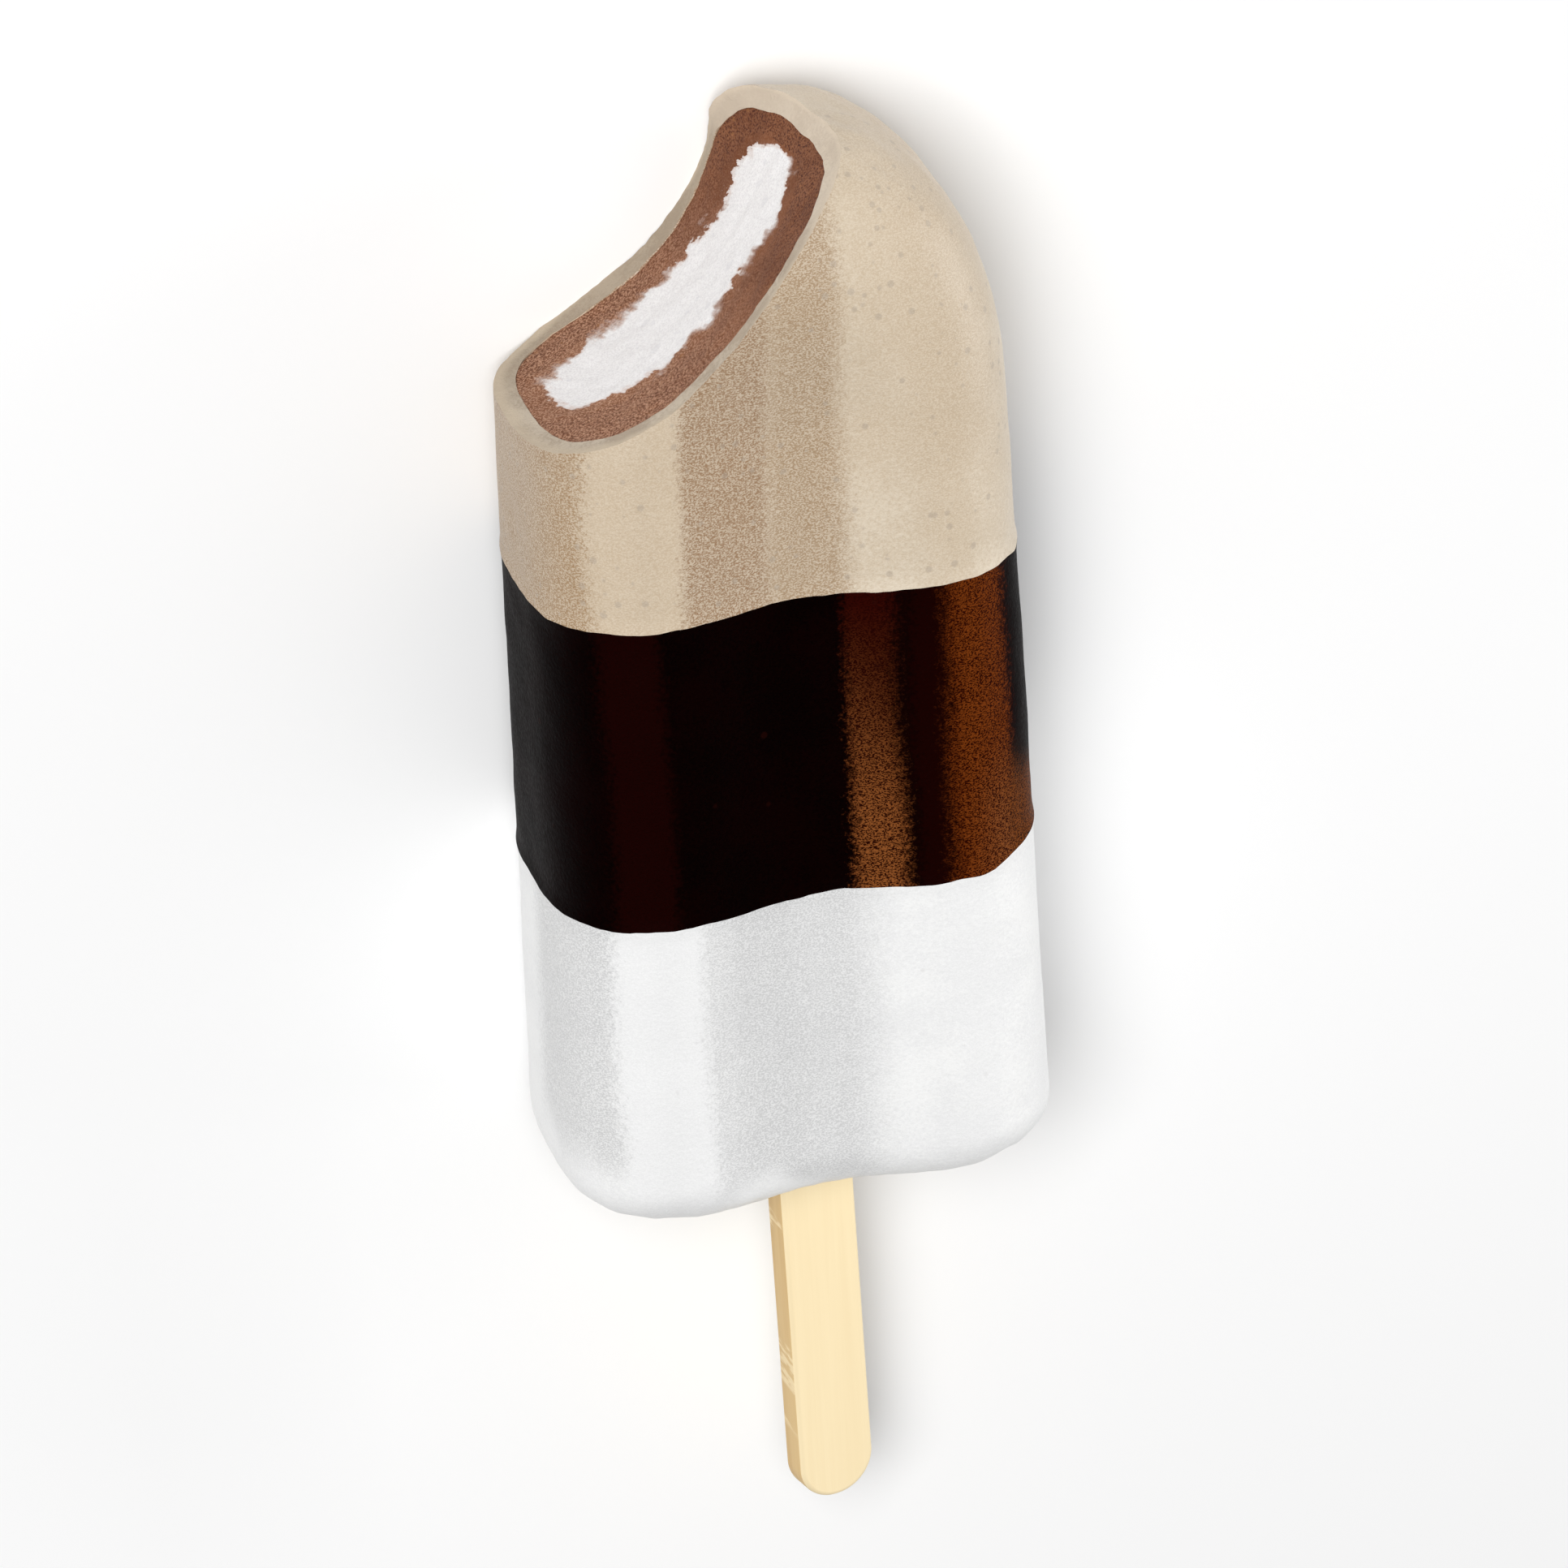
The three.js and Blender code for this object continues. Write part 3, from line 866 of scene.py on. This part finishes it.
white_coating = coating_finish("white_chocolate", WHITE_LOOK, IOR=1.4)
dark_coating = coating_finish("dark_chocolate", DARK_LOOK, IOR=1.1, Specular_IOR_Level=0.2)
beige_coating = coating_finish("beige_chocolate", BEIGE_LOOK, IOR=1.4)
snapped_coating = snapped_finish()
chocolate = ice_cream_finish("bitten_chocolate", roughness=0.75, relief=0.00014)
vanilla = ice_cream_finish("bitten_vanilla", roughness=0.6, relief=0.00006)
birch = birch_finish()


# ------------------------------------------------------------------ the pieces


BAND_FINISHES = {"white_band": white_coating, "dark_band": dark_coating, "beige_band": beige_coating}


def shape_band_edges(skin):
    """Lets the white coat's end climb on the right side, and raises a soft bead along each
    line between two bands, where a dipped coat ends."""
    points = places(skin)
    normals = np.empty(points.size, np.float32)
    skin.data.vertices.foreach_get("normal", normals)
    along = points[:, 1] - BODY_BOTTOM
    for line in (WHITE_BAND_TOP, DARK_BAND_TOP):
        bead = BAND_BEAD * np.exp(-(((along - line) / BAND_BEAD_WIDTH) ** 2))
        points += normals.reshape(-1, 3) * bead[:, None]
    side = np.clip((points[:, 0] - BAND_CLIMB_START) / (BODY_WIDTH / 2 - BAND_CLIMB_START), 0, 1)
    spread = np.exp(-(((along - WHITE_BAND_TOP) / BAND_CLIMB_LENGTH) ** 2))
    points[:, 1] += BAND_CLIMB * eased(side) * spread
    move_to(skin, points)


def coating_bands():
    """The skin of the whole bar, parted along the two lines between its colours, and each
    band then given its thickness."""
    rows = stations(OUTSIDE, SKIN_STEP, (WHITE_BAND_TOP, DARK_BAND_TOP))
    skin = body("skin", OUTSIDE, SKIN_SIDES, rows)
    for finish in BAND_FINISHES.values():
        skin.data.materials.append(finish)
    for face in skin.data.polygons:
        along = face.center.y - BODY_BOTTOM
        face.material_index = int(along > WHITE_BAND_TOP) + int(along > DARK_BAND_TOP)
    shape_band_edges(skin)
    roughen(skin, *SKIN_WAVER, direction="Y")
    for relief in SKIN_RELIEFS:
        roughen(skin, *relief)
    points = places(skin)
    points[:, 2] = np.maximum(points[:, 2], 0)
    move_to(skin, points)
    select_only(skin)
    edit()
    bpy.ops.mesh.select_all(action="SELECT")
    bpy.ops.mesh.separate(type="MATERIAL")
    leave_edit()
    bands = {}
    for band in list(bpy.context.selected_objects):
        finish = band.data.materials[band.data.polygons[0].material_index]
        band.name = next(name for name, its in BAND_FINISHES.items() if its == finish)
        band.data.polygons.foreach_set("material_index", [0] * len(band.data.polygons))
        band.data.materials.clear()
        band.data.materials.append(finish)
        modifier = band.modifiers.new("Thickness", "SOLIDIFY")
        modifier.thickness = COATING_THICKNESS
        modifier.offset = -1
        modifier.use_even_offset = True
        bands[band.name] = band
    for band in bands.values():
        apply_modifiers(band)
    return bands


def mark_reach(piece, name, form, lowered=0.0):
    """Writes how far each point lies outside a form, which the finishes at the bite read."""
    x, y, z = places(piece).T
    width, thickness, _ = shares(form, y - BODY_BOTTOM)
    half_width = np.maximum(form["half_width"] * width, LEAST_HALF)
    half_thickness = np.maximum(form["half_thickness"] * thickness, LEAST_HALF)
    over = z - MIDDLE_HEIGHT + lowered
    oval = (np.abs(x) / half_width) ** OVAL_SQUARENESS
    oval += (np.abs(over) / half_thickness) ** OVAL_SQUARENESS
    oval = np.maximum(oval, LEAST_OVAL) ** (1 / OVAL_SQUARENESS)
    reach = np.hypot(x, over) * (1 - 1 / oval)
    mark = piece.data.attributes.new(name, "FLOAT", "POINT")
    mark.data.foreach_set("value", np.clip(reach, -REACH_LIMIT, REACH_LIMIT).astype(np.float32))


CHOCOLATE = inset(OUTSIDE, COATING_THICKNESS - LAYER_OVERLAP)
CORE = inset(OUTSIDE, CORE_INSET, half_thickness=CORE_THICKNESS / 2, groove_depth=CORE_GROOVE_DEPTH)


def on_rim(edge):
    """Whether an edge of the stick's block goes round one of its two flat sides."""
    level = span(edge, "z") < STICK_THICKNESS / 4
    return level and len(edge.link_faces) == 2 and edge.calc_face_angle() > RIM_ANGLE


def on_flat_side(edge):
    """Whether an edge of the stick belongs to one of its two flat sides."""
    return any(abs(face.normal.z) > FLAT_NORMAL for face in edge.link_faces)


def stick():
    """A flat stick with round ends. A block gets its ends rounded, and then the edges round
    its flat sides, which are left sharp for the shading."""
    bpy.ops.object.select_all(action="DESELECT")
    bpy.ops.mesh.primitive_cube_add(size=1)
    bpy.context.object.scale = (STICK_WIDTH, STICK_LENGTH, STICK_THICKNESS)
    piece = added("birch_stick")
    edit("EDGE")
    select_edges(piece, lambda edge: span(edge, "z") > STICK_THICKNESS / 2)
    end_radius = STICK_WIDTH / 2 * STICK_ROUNDING
    bpy.ops.mesh.bevel(offset=end_radius, segments=STICK_END_SEGMENTS, affect="EDGES")
    select_edges(piece, on_rim)
    bpy.ops.mesh.bevel(offset=STICK_BEVEL, segments=STICK_BEVEL_SEGMENTS, affect="EDGES")
    select_edges(piece, on_flat_side)
    bpy.ops.mesh.mark_sharp()
    close_and_leave(piece)
    narrow = [float(abs(face.normal.z) < NARROW_NORMAL) for face in piece.data.polygons]
    piece.data.attributes.new("narrow_side", "FLOAT", "FACE").data.foreach_set("value", narrow)
    turn = Matrix.Rotation(STICK_TWIST, 4, "Y")
    slide = Matrix.Translation((0, STICK_LENGTH / 2 - STICK_OUTSIDE, 0))
    lean = Matrix.Rotation(STICK_LEAN, 4, "Z")
    seat = Matrix.Translation((STICK_OFFSET, BODY_BOTTOM, MIDDLE_HEIGHT))
    piece.matrix_world = seat @ lean @ slide @ turn
    bpy.ops.object.transform_apply(location=True, rotation=True, scale=True)
    return piece


bands = coating_bands()
coating_bite = bite("coating_bite", 0.0, COATING_BITE_RELIEFS)
coating_bite.data.materials.append(snapped_coating)
cut_away(bands["beige_band"], coating_bite)
bpy.data.objects.remove(coating_bite)

cream_bite = bite("cream_bite", COATING_STANDS_PROUD, CREAM_BITE_RELIEFS)
vanilla_core = body("vanilla_ice_cream", CORE, LAYER_SIDES, stations(CORE, LAYER_STEP), CORE_LOWERED)
chocolate_layer = body("chocolate_ice_cream", CHOCOLATE, LAYER_SIDES, stations(CHOCOLATE, LAYER_STEP))
cut_away(chocolate_layer, vanilla_core)
cut_away(chocolate_layer, cream_bite)
cut_away(vanilla_core, cream_bite)
bpy.data.objects.remove(cream_bite)
mark_reach(bands["beige_band"], "skin_reach", OUTSIDE)
mark_reach(chocolate_layer, "core_reach", CORE, CORE_LOWERED)
mark_reach(vanilla_core, "core_reach", CORE, CORE_LOWERED)

finish_piece(bands["white_band"], "coating_white", "white_coating")
finish_piece(bands["dark_band"], "coating_dark", "dark_coating")
finish_piece(bands["beige_band"], "coating_beige", "beige_coating")
finish_piece(chocolate_layer, "chocolate_layer", "chocolate_ice_cream", chocolate)
finish_piece(vanilla_core, "vanilla_core", "vanilla_ice_cream", vanilla)
finish_piece(stick(), "stick", "birch", birch)


# ------------------------------------------------------------------ floor, light and camera


def camera_axes(left, above, roll):
    """The camera's right, up and back, for a bar that lies on its back. The camera stands
    over it, to the left of it and towards its bitten end, and is rolled."""
    back = Vector((-math.sin(left) * math.cos(above), math.sin(above), math.cos(left) * math.cos(above)))
    right = Vector((math.cos(left), 0, math.sin(left)))
    up = back.cross(right)
    rolled_right = right * math.cos(roll) - up * math.sin(roll)
    rolled_up = up * math.cos(roll) + right * math.sin(roll)
    return rolled_right, rolled_up, back


CAMERA_LENS = 200.0
CAMERA_SENSOR = 36.0
CAMERA_CLIP_START = 0.01
CAMERA_DISTANCE = 0.7909
CAMERA_TARGET = Vector((0.0012, BODY_BOTTOM + 0.0359, 0.0147))
CAMERA_LEFT = math.radians(14.65)
CAMERA_ABOVE = math.radians(27)
CAMERA_ROLL = math.radians(3.24)
FLOOR_SIZE = 6.0
ROOM_LIGHT = (1, 1, 1, 1)
ROOM_BRIGHTNESS = 0.32

right, up, back = camera_axes(CAMERA_LEFT, CAMERA_ABOVE, CAMERA_ROLL)
camera_data = bpy.data.cameras.new("camera")
camera_data.lens = CAMERA_LENS
camera_data.sensor_width = CAMERA_SENSOR
camera_data.clip_start = CAMERA_CLIP_START
camera = bpy.data.objects.new("camera", camera_data)
bpy.context.scene.collection.objects.link(camera)
camera_turn = Matrix((right, up, back)).transposed().to_4x4()
camera.matrix_world = Matrix.Translation(CAMERA_TARGET + back * CAMERA_DISTANCE) @ camera_turn
bpy.context.scene.camera = camera

bpy.ops.object.select_all(action="DESELECT")
bpy.ops.mesh.primitive_plane_add(size=FLOOR_SIZE)
floor = added("floor")
floor.data.materials.append(floor_finish())


def softbox(name, direction, distance, size, power):
    """A soft light that shines at the bar from a direction."""
    data = bpy.data.lights.new(name, "AREA")
    data.shape = "RECTANGLE"
    data.size, data.size_y = size
    data.energy = power
    light = bpy.data.objects.new(name, data)
    bpy.context.scene.collection.objects.link(light)
    way = Vector(direction).normalized()
    light.location = CAMERA_TARGET + way * distance
    light.rotation_mode = "QUATERNION"
    light.rotation_quaternion = way.to_track_quat("Z", "Y")


softbox("key", direction=(-0.34, 0.35, 0.87), distance=0.9, size=(0.4, 0.4), power=6.6)
softbox("edge_light", direction=(0.96, 0.05, 0.2), distance=0.7, size=(0.5, 0.12), power=2.0)

world = bpy.data.worlds.new("studio")
world.use_nodes = True
background = world.node_tree.nodes["Background"]
background.inputs["Color"].default_value = ROOM_LIGHT
background.inputs["Strength"].default_value = ROOM_BRIGHTNESS
bpy.context.scene.world = world
bpy.context.scene.view_settings.view_transform = "Standard"

bpy.context.view_layer.update()
